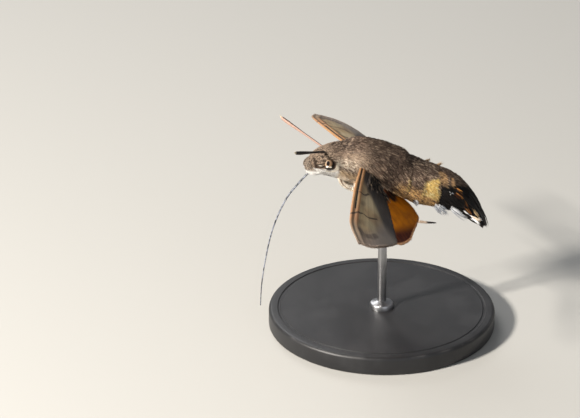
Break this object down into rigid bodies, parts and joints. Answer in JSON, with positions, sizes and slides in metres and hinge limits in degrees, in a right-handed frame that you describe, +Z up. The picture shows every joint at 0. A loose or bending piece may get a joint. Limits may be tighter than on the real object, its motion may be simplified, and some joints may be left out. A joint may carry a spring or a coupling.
{
  "type": "hummingbird hawk moth",
  "caption": "Life-size hovering hummingbird hawk moth with spread wings, coiled-out proboscis and tail fan, held level by a rod on a flat round stand.",
  "frame": {"origin": "centre of the underside of the stand's round base", "axes": "+X the way the moth faces, +Y its left side, +Z up"},
  "size_m": [0.0376, 0.0488, 0.0338],
  "materials": {
    "head_fur": "matt fur",
    "thorax_fur": "matt fur",
    "abdomen_fur": "matt scales and fur",
    "tail_scales": "matt long scales",
    "eyes": "glossy",
    "palps": "matt fur",
    "proboscis": "satin",
    "antennae": "satin",
    "forewings": "matt scales",
    "hindwings": "matt scales",
    "legs": "matt scales",
    "stand_base": "satin black paint",
    "stand_rod": "brushed"
  },
  "bodies": {
    "root": {"head": "head_fur", "thorax": "thorax_fur", "abdomen": "abdomen_fur", "tail_fan": "tail_scales", "eye_left": "eyes", "eye_right": "eyes", "palp_left": "palps", "palp_right": "palps", "proboscis": "proboscis", "antenna_left": "antennae", "antenna_right": "antennae", "forewing_left": "forewings", "forewing_right": "forewings", "hindwing_left": "hindwings", "hindwing_right": "hindwings", "foreleg_left": "legs", "foreleg_right": "legs", "midleg_left": "legs", "midleg_right": "legs", "hindleg_left": "legs", "hindleg_right": "legs", "stand_base": "stand_base", "stand_rod": "stand_rod"}
  },
  "joints": []
}
